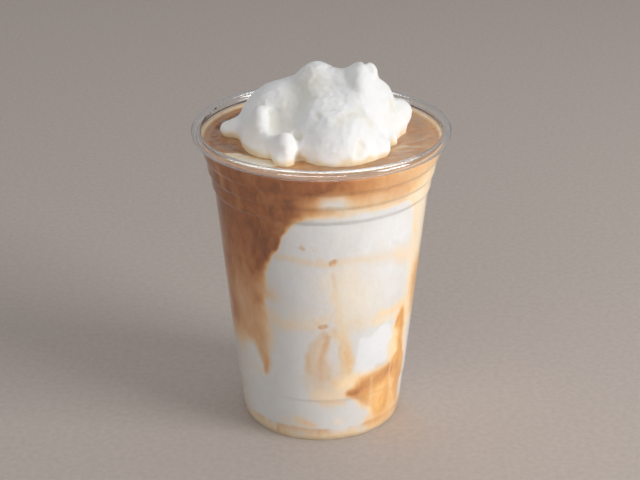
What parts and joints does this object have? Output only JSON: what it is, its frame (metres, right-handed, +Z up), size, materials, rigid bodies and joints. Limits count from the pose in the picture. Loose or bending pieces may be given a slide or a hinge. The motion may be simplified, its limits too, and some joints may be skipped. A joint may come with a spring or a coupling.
{
  "type": "iced coconut coffee in a clear plastic cup",
  "caption": "Iced coconut coffee: white coconut slush marbled with milky coffee in a clear cup, topped with a heaped scoop of coconut slush.",
  "frame": {"origin": "centre of the cup's foot, on the surface it stands on", "axes": "+Z up along the cup's axis, -Y towards the side shown in front, +X to the right of it"},
  "size_m": [0.098, 0.098, 0.1441],
  "materials": {
    "clear_plastic": "clear gloss",
    "coconut_slush": "soft satin, frozen slush",
    "milky_coffee": "wet gloss"
  },
  "bodies": {
    "root": {"cup": "clear_plastic", "coconut_layer": "coconut_slush", "coffee_layer": "milky_coffee", "coconut_scoop": "coconut_slush"}
  },
  "joints": []
}
